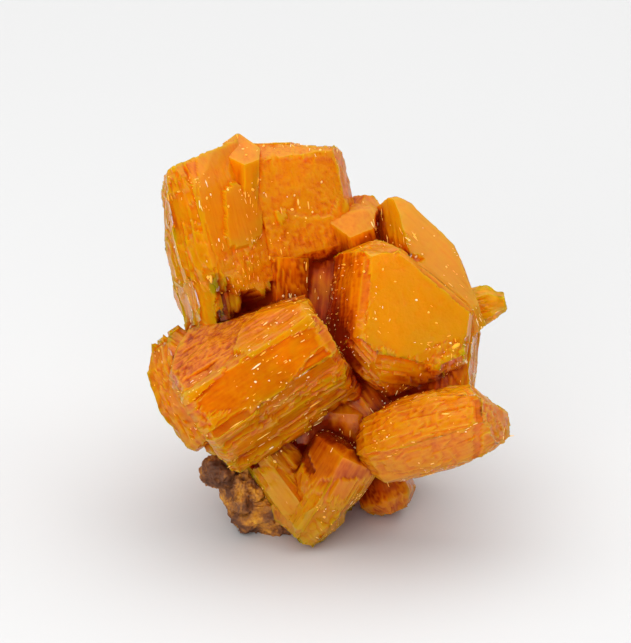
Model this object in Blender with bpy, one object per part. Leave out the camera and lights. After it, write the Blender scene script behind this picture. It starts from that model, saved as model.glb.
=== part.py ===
"""A cluster of intergrown mimetite crystals with a chip of limonite matrix.

The crystals are stout hexagonal prisms with bevelled ends. They overlap, so they are united in
one solid, which is cut flat where the group stands. Sizes below are in millimetres.
"""

import math

import bmesh
import bpy
from mathutils import Matrix, Vector, noise

MM = 0.001

# The crystals are laid out in a frame that leans back, so that its three directions are right,
# up and out from a viewer who looks down on the group at this angle.
LEAN = math.radians(24.0)
LAYOUT_CENTRE = Vector((-0.9, 0.0, 13.3))
RIGHT = Vector((1.0, 0.0, 0.0))
UP = Vector((0.0, math.sin(LEAN), math.cos(LEAN)))
OUT = Vector((0.0, -math.cos(LEAN), math.sin(LEAN)))

SIXTH_TURN = math.radians(60.0)
MATRIX_GAP = 0.3
GROUND_BLOCK = Vector((60.0, 60.0, 20.0))

# One entry for each crystal. place is a point on its long axis, and axis the direction of that
# axis. face is the direction that the first side face looks in, and reach the distances of the
# six side faces from the axis, in order round it. ends gives the rings along the axis, each as
# a distance from place and how far the sides draw in there. Each of cuts takes off what lies
# beyond a plane, given by a point on it and the way it faces.
CRYSTALS = {
    "upper_left": {
        "place": (-6.78, 4.65, 0.1), "axis": (-0.25, 0.968, 0.0), "face": (-0.26, 0.0, 0.97),
        "reach": (4.1, 2.85, 3.6, 3.9, 2.96, 2.9),
        "ends": ((-5.6, 0.9), (-4.8, 0.0), (4.2, 0.0), (8.1, 0.7)),
        "cuts": (((-7.6, 11.0, 0.0), (-0.53, 0.85, -0.1)), ((-4.8, 12.3, 0.0), (0.25, 0.97, 0.05)),
                 ((-10.1, 7.0, 0.0), (-0.99, 0.0, 0.1)), ((-4.8, 11.9, 0.5), (0.35, 0.55, 0.75))),
    },
    "upper_left_front": {
        "place": (-4.85, 8.3, 0.7), "axis": (0.0, 1.0, 0.03), "face": (0.3, 0.0, 0.95),
        "reach": (1.5, 1.25, 1.25, 1.5, 1.25, 1.25),
        "ends": ((-3.1, 0.2), (4.2, 0.0)),
        "cuts": (((-4.8, 11.0, 1.3), (0.05, 0.75, 0.66)),),
    },
    "upper_right": {
        "place": (-0.92, 7.5, -2.3), "axis": (-0.25, 0.968, 0.05), "face": (0.26, 0.0, 0.97),
        "reach": (2.6, 3.4, 2.47, 2.8, 2.6, 3.3),
        "ends": ((-3.6, 0.8), (-2.8, 0.0), (6.0, 0.0)),
        "cuts": (((0.5, 11.7, 0.0), (0.0, 1.0, 0.0)), ((0.5, 11.3, 0.0), (0.05, 0.78, 0.62)),
                 ((1.75, 11.3, 0.0), (0.75, 0.66, 0.05)), ((2.2, 9.9, 0.0), (0.96, 0.27, 0.05))),
    },
    "upper_step": {
        "place": (-2.7, 9.0, -2.3), "axis": (-0.25, 0.968, 0.0), "face": (0.26, 0.0, 0.97),
        "reach": (2.0, 2.2, 2.0, 2.0, 2.0, 2.0),
        "ends": ((-5.0, 0.3), (6.0, 0.0)),
        "cuts": (((-2.5, 11.9, 0.0), (-0.07, 0.99, 0.0)),),
    },
    "between": {
        "place": (2.9, 5.3, -0.4), "axis": (-0.15, 0.92, 0.36), "face": (0.1, -0.3, 0.95),
        "reach": (1.5, 1.4, 1.5, 1.5, 1.4, 1.5),
        "ends": ((-5.0, 0.0), (1.6, 0.0), (1.8, 0.25)),
        "cuts": (),
    },
    "between_back": {
        "place": (3.2, 5.2, -2.4), "axis": (0.05, 0.98, -0.2), "face": (0.3, 0.1, 0.95),
        "reach": (1.7, 1.6, 1.6, 1.7, 1.6, 1.6),
        "ends": ((-4.0, 0.0), (2.3, 0.0), (3.2, 0.8)),
        "cuts": (),
    },
    "right_behind": {
        "place": (6.93, 2.35, -0.5), "axis": (0.72, -0.69, 0.0), "face": (0.49, 0.51, 0.71),
        "reach": (3.2, 3.2, 3.2, 3.2, 3.2, 3.2),
        "ends": ((-6.0, 1.3), (-5.2, 0.3), (-4.2, 0.0), (3.6, 0.0), (4.9, 0.7)),
        "cuts": (((4.8, 6.6, 0.0), (-0.90, 0.05, 0.43)), ((9.9, 3.4, 0.0), (0.93, 0.36, 0.0))),
    },
    "right_front": {
        "place": (6.6, 0.8, 5.3), "axis": (0.30, 0.08, 0.95), "face": (0.62, 0.784, 0.0),
        "reach": (2.9, 5.0, 4.1, 4.8, 4.8, 4.4),
        "ends": ((-7.5, 1.0), (-6.5, 0.0), (-0.6, 0.0), (0.0, 0.5)),
        "cuts": (((6.6, -2.9, 5.3), (0.05, -0.80, 0.60)), ((3.4, -2.0, 6.0), (-0.60, -0.66, 0.45)),
                 ((10.6, -1.0, 4.0), (0.82, -0.40, 0.40)), ((4.5, 4.85, 4.5), (-0.05, 0.95, 0.30))),
    },
    "far_right": {
        "place": (9.6, 0.7, -1.9), "axis": (0.97, 0.22, 0.1), "face": (0.0, 0.1, 1.0),
        "reach": (1.3, 1.2, 1.2, 1.3, 1.2, 1.2),
        "ends": ((-3.0, 0.3), (2.6, 0.0), (3.1, 0.3)),
        "cuts": (((11.8, 0.25, 0.0), (0.45, -0.89, 0.0)),),
    },
    "far_right_low": {
        "place": (8.4, -2.2, 0.6), "axis": (0.15, -0.97, 0.1), "face": (0.3, 0.0, 0.95),
        "reach": (2.5, 2.3, 2.3, 2.5, 2.3, 2.3),
        "ends": ((-3.0, 0.3), (2.6, 0.1), (3.0, 0.4)),
        "cuts": (),
    },
    "front_left": {
        "place": (-3.74, -3.22, 4.0), "axis": (0.84, 0.54, 0.0), "face": (0.03, -0.05, 1.0),
        "reach": (4.5, 3.66, 5.13, 3.4, 5.08, 3.4),
        "ends": ((-5.15, 0.45), (-4.7, 0.0), (4.6, 0.0), (5.15, 0.5)),
        "cuts": (((-8.6, -1.2, 0.0), (-0.92, 0.38, 0.0)), ((-3.9, 0.4, 5.5), (-0.26, 0.95, 0.12))),
    },
    "left_behind": {
        "place": (-7.7, -4.5, 1.4), "axis": (0.52, -0.85, 0.1), "face": (-0.5, -0.2, 0.85),
        "reach": (2.8, 2.7, 2.6, 2.8, 2.7, 2.7),
        "ends": ((-4.3, 1.8), (-2.6, 0.5), (0.0, 0.0), (2.9, 0.0), (3.4, 0.4)),
        "cuts": (),
    },
    "lower_right": {
        "place": (7.3, -7.4, 4.6), "axis": (0.85, 0.25, 0.45), "face": (-0.4, 0.3, 0.87),
        "reach": (2.6, 2.5, 2.6, 2.6, 2.5, 2.6),
        "ends": ((-4.6, 1.2), (-3.4, 0.35), (-1.2, 0.0), (2.2, 0.0), (4.2, 0.4), (5.2, 0.8)),
        "cuts": (((11.4, -5.0, 5.0), (0.60, 0.80, 0.10)), ((9.5, -9.4, 5.0), (0.22, -0.97, 0.10))),
    },
    "bottom_centre": {
        "place": (1.0, -10.4, 1.0), "axis": (-0.5, -0.83, -0.22), "face": (-0.5, 0.2, 0.8),
        "reach": (2.5, 2.3, 2.6, 2.5, 2.3, 2.6),
        "ends": ((-2.9, 0.6), (-2.4, 0.0), (3.4, 0.0), (4.2, 0.6)),
        "cuts": (((1.6, -13.2, 0.0), (0.75, -0.66, 0.1)),),
    },
    "bottom_left_flank": {
        "place": (-1.6, -10.9, 0.4), "axis": (0.60, -0.80, -0.05), "face": (-0.3, -0.2, 0.93),
        "reach": (1.9, 1.5, 1.6, 1.9, 1.6, 1.7),
        "ends": ((-2.6, 0.3), (3.4, 0.1), (3.9, 0.6)),
        "cuts": (),
    },
    "bottom_right": {
        "place": (4.4, -10.5, -2.9), "axis": (0.35, -0.92, -0.1), "face": (0.3, 0.0, 0.95),
        "reach": (1.8, 1.7, 1.7, 1.8, 1.7, 1.7),
        "ends": ((-3.2, 0.4), (1.4, 0.0), (2.2, 0.5)),
        "cuts": (((5.6, -12.4, 0.0), (0.6, -0.8, 0.1)),),
    },
    "recess_left": {
        "place": (-2.4, 1.4, -1.2), "axis": (0.02, 1.0, 0.02), "face": (-0.5, 0.0, 0.86),
        "reach": (1.9, 1.9, 1.9, 1.9, 1.9, 1.9),
        "ends": ((-4.0, 0.0), (2.9, 0.0)),
        "cuts": (),
    },
    "recess_right": {
        "place": (3.6, -5.4, 0.2), "axis": (0.55, -0.8, 0.1), "face": (0.2, 0.2, 0.95),
        "reach": (2.3, 2.2, 2.3, 2.3, 2.2, 2.3),
        "ends": ((-4.0, 0.2), (3.4, 0.1), (3.9, 0.4)),
        "cuts": (),
    },
    "behind_recess": {
        "place": (-2.8, 2.8, -3.6), "axis": (-0.05, 1.0, 0.1), "face": (-0.5, 0.0, 0.86),
        "reach": (2.4, 2.4, 2.4, 2.4, 2.4, 2.4),
        "ends": ((-4.0, 0.0), (4.0, 0.0)),
        "cuts": (),
    },
    "heart": {
        "place": (1.6, -1.5, -3.4), "axis": (0.1, 0.95, -0.3), "face": (0.0, 0.3, 1.0),
        "reach": (3.9, 4.4, 4.4, 3.9, 4.4, 4.4),
        "ends": ((-8.0, 1.5), (-6.0, 0.0), (6.0, 0.0), (7.5, 1.0)),
        "cuts": (),
    },
    "back_left": {
        "place": (-5.6, 1.6, -5.0), "axis": (-0.45, 0.20, -0.87), "face": (0.0, 1.0, 0.0),
        "reach": (3.0, 2.8, 2.9, 3.0, 2.8, 2.9),
        "ends": ((-4.0, 0.0), (2.6, 0.0), (3.3, 0.6)),
        "cuts": (),
    },
    "back_right": {
        "place": (5.2, 1.2, -5.0), "axis": (0.52, 0.12, -0.85), "face": (0.0, 1.0, 0.1),
        "reach": (2.9, 2.7, 2.8, 2.9, 2.7, 2.8),
        "ends": ((-4.0, 0.0), (3.0, 0.0), (3.8, 0.7)),
        "cuts": (),
    },
    "back_top": {
        "place": (0.2, 5.0, -4.9), "axis": (0.10, 0.55, -0.83), "face": (1.0, 0.1, 0.0),
        "reach": (2.9, 3.0, 2.8, 2.9, 3.0, 2.8),
        "ends": ((-2.4, 0.0), (3.0, 0.0), (3.8, 0.8)),
        "cuts": (),
    },
    "back_middle": {
        "place": (-0.6, -1.6, -7.6), "axis": (-0.10, -0.25, -0.96), "face": (0.4, 0.9, 0.0),
        "reach": (3.3, 3.1, 3.2, 3.3, 3.1, 3.2),
        "ends": ((-4.0, 0.0), (2.0, 0.0), (2.8, 0.7)),
        "cuts": (),
    },
    "foot_back": {
        "place": (0.4, -6.6, -7.4), "axis": (0.10, -0.80, -0.60), "face": (0.6, 0.5, -0.7),
        "reach": (3.5, 3.3, 3.2, 3.5, 3.3, 3.2),
        "ends": ((-5.0, 0.3), (7.0, 0.0)),
        "cuts": (),
    },
    "foot_left": {
        "place": (-3.2, -6.6, -4.4), "axis": (-0.30, -0.90, -0.32), "face": (0.1, 0.5, -0.8),
        "reach": (2.7, 2.5, 2.6, 2.7, 2.5, 2.6),
        "ends": ((-5.0, 0.3), (2.8, 0.0), (4.0, 0.5)),
        "cuts": (),
    },
    "foot_right": {
        "place": (4.2, -6.0, -5.6), "axis": (0.38, -0.80, -0.46), "face": (0.8, 0.3, 0.3),
        "reach": (2.4, 2.3, 2.3, 2.4, 2.3, 2.3),
        "ends": ((-5.0, 0.3), (3.2, 0.0), (3.9, 0.5)),
        "cuts": (),
    },
    "foot_middle": {
        "place": (0.6, -8.2, -4.2), "axis": (-0.04, -0.93, -0.37), "face": (0.3, 0.1, 0.9),
        "reach": (2.6, 2.4, 2.5, 2.6, 2.4, 2.5),
        "ends": ((-4.0, 0.0), (5.0, 0.0)),
        "cuts": (),
    },
}

# Lumps of the matrix chip: centre, radii along right, up and out, and how knobbly each one is.
MATRIX_LUMPS = (
    ((-6.5, -10.0, -0.2), (1.15, 0.95, 1.0), 0.28),
    ((-4.8, -11.3, -0.6), (1.2, 1.6, 1.5), 0.30),
    ((-3.4, -11.1, -1.7), (1.2, 1.2, 1.4), 0.30),
    ((-3.7, -12.7, -1.4), (1.7, 1.35, 1.6), 0.30),
    ((-2.6, -13.6, -1.6), (1.3, 0.9, 1.3), 0.25),
)
KNOB_SIZE = 0.9


def layout_matrix():
    """Takes the leaning frame, in millimetres, to the part's own frame, in metres."""
    turn = Matrix((RIGHT, UP, OUT)).transposed().to_4x4()
    return Matrix.Scale(MM, 4) @ Matrix.Translation(LAYOUT_CENTRE) @ turn


def to_mesh(name, bm):
    bmesh.ops.recalc_face_normals(bm, faces=bm.faces)
    bm.transform(layout_matrix())
    mesh = bpy.data.meshes.new(name)
    bm.to_mesh(mesh)
    bm.free()
    return mesh


def crystal_mesh(name, crystal, grow=0.0):
    """One prism lofted through its end rings, then cut; grow moves every face outwards."""
    axis = Vector(crystal["axis"]).normalized()
    first = Vector(crystal["face"])
    first = (first - axis * first.dot(axis)).normalized()
    second = axis.cross(first)
    centre = Vector(crystal["place"])
    last = len(crystal["ends"]) - 1

    bm = bmesh.new()
    rings = []
    for number, (along, inset) in enumerate(crystal["ends"]):
        along += grow * ((number == last) - (number == 0))
        reach = [distance - inset + grow for distance in crystal["reach"]]
        ring = []
        for side in range(6):
            normal = first * math.cos(SIXTH_TURN * side) + second * math.sin(SIXTH_TURN * side)
            after = reach[(side + 1) % 6]
            sideways = (after - reach[side] * math.cos(SIXTH_TURN)) / math.sin(SIXTH_TURN)
            corner = normal * reach[side] + axis.cross(normal) * sideways + axis * along
            ring.append(bm.verts.new(centre + corner))
        rings.append(ring)
    bm.faces.new(rings[0])
    bm.faces.new(rings[-1])
    for low, high in zip(rings, rings[1:]):
        for side in range(6):
            after = (side + 1) % 6
            bm.faces.new((low[side], low[after], high[after], high[side]))

    for point, facing in crystal["cuts"]:
        facing = Vector(facing).normalized()
        cut = bmesh.ops.bisect_plane(
            bm, geom=bm.verts[:] + bm.edges[:] + bm.faces[:], dist=1e-5,
            plane_co=Vector(point) + facing * grow, plane_no=facing, clear_outer=True)
        edges = [item for item in cut["geom_cut"] if isinstance(item, bmesh.types.BMEdge)]
        if edges:
            bmesh.ops.contextual_create(bm, geom=edges)
    return to_mesh(name, bm)


def lump_mesh(name, centre, radii, knobbly):
    bm = bmesh.new()
    bmesh.ops.create_icosphere(bm, subdivisions=3, radius=1.0)
    for vert in bm.verts:
        place = Vector(centre) + Vector(radii) * vert.co
        swell = 1.0 + knobbly * noise.noise(place / KNOB_SIZE)
        vert.co = Vector(centre) + Vector(radii) * vert.co * swell
    return to_mesh(name, bm)


def finish(name, colour, roughness):
    material = bpy.data.materials.new(name)
    material.use_nodes = True
    shader = material.node_tree.nodes["Principled BSDF"]
    shader.inputs["Base Color"].default_value = (*colour, 1.0)
    shader.inputs["Roughness"].default_value = roughness
    shader.inputs["Metallic"].default_value = 0.0
    return material


def guides(name, meshes):
    """A collection of shapes that only serve a Boolean."""
    collection = bpy.data.collections.new(name)
    bpy.context.scene.collection.children.link(collection)
    for number, mesh in enumerate(meshes):
        thing = bpy.data.objects.new(f"{name}_{number}", mesh)
        collection.objects.link(thing)
        thing.hide_render = True
        thing.display_type = "WIRE"
    return collection


def combine(thing, operation, collection):
    modifier = thing.modifiers.new(operation.lower(), "BOOLEAN")
    modifier.operation = operation
    modifier.operand_type = "COLLECTION"
    modifier.collection = collection
    modifier.solver = "EXACT"


def ground_mesh():
    """A block whose top is the surface that the group stands on."""
    bm = bmesh.new()
    bmesh.ops.create_cube(bm, size=1.0)
    bmesh.ops.scale(bm, vec=GROUND_BLOCK * MM, verts=bm.verts)
    bmesh.ops.translate(bm, vec=(0.0, 0.0, -GROUND_BLOCK.z * MM / 2), verts=bm.verts)
    mesh = bpy.data.meshes.new("ground")
    bm.to_mesh(mesh)
    bm.free()
    return mesh


def add(name, meshes, material):
    """One solid, from the union of several."""
    thing = bpy.data.objects.new(name, meshes[0])
    bpy.context.scene.collection.objects.link(thing)
    combine(thing, "UNION", guides(name + "_parts", meshes[1:]))
    thing.data.materials.append(material)
    return thing


def main():
    for old in list(bpy.data.objects):
        bpy.data.objects.remove(old)
    ground = guides("ground", [ground_mesh()])

    crystals = [crystal_mesh(name, crystal) for name, crystal in CRYSTALS.items()]
    cluster = add("crystal_cluster", crystals, finish("mimetite", (0.86, 0.33, 0.03), 0.3))
    combine(cluster, "DIFFERENCE", ground)

    lumps = [lump_mesh(f"lump_{number}", *lump) for number, lump in enumerate(MATRIX_LUMPS)]
    chip = add("limonite_matrix", lumps, finish("limonite", (0.20, 0.08, 0.03), 0.8))
    grown = [crystal_mesh("room_" + name, crystal, grow=MATRIX_GAP)
             for name, crystal in CRYSTALS.items()]
    combine(chip, "DIFFERENCE", guides("room", grown))
    combine(chip, "DIFFERENCE", ground)


main()
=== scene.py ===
import math
import random
import time
import bmesh
import bpy
import numpy as np
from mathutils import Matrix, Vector, geometry, kdtree
from mathutils.bvhtree import BVHTree


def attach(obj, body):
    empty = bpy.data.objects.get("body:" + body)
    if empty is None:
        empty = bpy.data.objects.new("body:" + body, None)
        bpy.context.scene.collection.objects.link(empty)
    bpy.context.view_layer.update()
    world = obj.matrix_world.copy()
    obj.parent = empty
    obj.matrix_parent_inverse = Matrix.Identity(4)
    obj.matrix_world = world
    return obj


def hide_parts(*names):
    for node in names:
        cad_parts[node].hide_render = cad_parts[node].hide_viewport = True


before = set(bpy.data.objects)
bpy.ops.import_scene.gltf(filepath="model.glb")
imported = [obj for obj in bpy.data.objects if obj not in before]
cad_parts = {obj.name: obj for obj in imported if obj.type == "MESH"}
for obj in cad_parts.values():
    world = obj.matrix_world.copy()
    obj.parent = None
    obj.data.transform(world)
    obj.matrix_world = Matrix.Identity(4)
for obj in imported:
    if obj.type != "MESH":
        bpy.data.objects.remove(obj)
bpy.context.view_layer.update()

# A group of orange mimetite crystals with a chip of limonite on it.
# Lengths are in millimetres up to the last step, which turns a mesh into metres.
millimetre = 0.001
started = time.time()


def report(stage):
    print(f"{time.time() - started:6.1f} s  {stage}")


# The crystals are laid out in a frame that leans back: right, up and out towards the camera.
layout = {
    "lean": math.radians(24),
    "centre": (-0.9, 0.0, 13.3),
}
leanSin, leanCos = math.sin(layout["lean"]), math.cos(layout["lean"])
outDir = np.array((0.0, -leanCos, leanSin))
layoutTurn = np.array(((1.0, 0.0, 0.0), (0.0, leanSin, leanCos), outDir))


def toWorld(points):
    return (np.asarray(points) @ layoutTurn + layout["centre"]) * millimetre


def unit(vector):
    vector = np.asarray(vector, float)
    return vector / np.linalg.norm(vector)


def rgb(red, green, blue):
    return (red, green, blue, 1.0)


def placed(name, mesh):
    thing = bpy.data.objects.new(name, mesh)
    bpy.context.scene.collection.objects.link(thing)
    return thing


# Camera
view = {
    "distance": 280.0,
    "heightInView": 643 / 15,       # the picture's height, in millimetres at the group
    "sensor": 36.0,
    "nearest": 0.01, "furthest": 4,
}


def addCamera():
    data = bpy.data.cameras.new("camera")
    camera = placed("camera", data)
    camera.location = toWorld((0.0, 0.0, view["distance"]))
    camera.rotation_euler = (math.radians(90) - layout["lean"], 0, 0)
    data.sensor_fit = "VERTICAL"
    data.sensor_height = view["sensor"]
    data.lens = view["sensor"] * view["distance"] / view["heightInView"]
    data.clip_start = view["nearest"]
    data.clip_end = view["furthest"]
    bpy.context.scene.camera = camera


# A shader socket that does sums. Any other node comes from node(): its settings are set first,
# then its sockets get their values or links.
class Wire:
    def __init__(self, tree, socket=None):
        self.tree = tree
        self.socket = socket

    def node(self, kind, settings=None, sockets=None, output=0):
        made = self.tree.nodes.new(kind)
        for name, value in (settings or {}).items():
            if name == "stops":
                elements = made.color_ramp.elements
                for number, (place, colour) in enumerate(value):
                    element = elements[number] if number < len(elements) else elements.new(place)
                    element.position = place
                    element.color = colour
            else:
                setattr(made, name, value)
        for name, value in (sockets or {}).items():
            if isinstance(value, Wire):
                self.tree.links.new(value.socket, made.inputs[name])
            else:
                made.inputs[name].default_value = value
        return Wire(self.tree, made.outputs[output] if made.outputs else None)

    def sum(self, operation, first, second):
        return self.node("ShaderNodeMath", {"operation": operation}, {0: first, 1: second})

    def __add__(self, other):
        return self.sum("ADD", self, other)

    def __sub__(self, other):
        return self.sum("SUBTRACT", self, other)

    def __mul__(self, other):
        return self.sum("MULTIPLY", self, other)

    def __rsub__(self, other):
        return self.sum("SUBTRACT", other, self)

    __radd__ = __add__
    __rmul__ = __mul__

    def over(self, low, high):
        # 0 at low, 1 at high, held in between
        return self.node("ShaderNodeMapRange", {"clamp": True},
                         {"Value": self, "From Min": low, "From Max": high})


def newMaterial(name):
    material = bpy.data.materials.new(name)
    material.use_nodes = True
    material.node_tree.nodes.clear()
    return material, Wire(material.node_tree)


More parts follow.
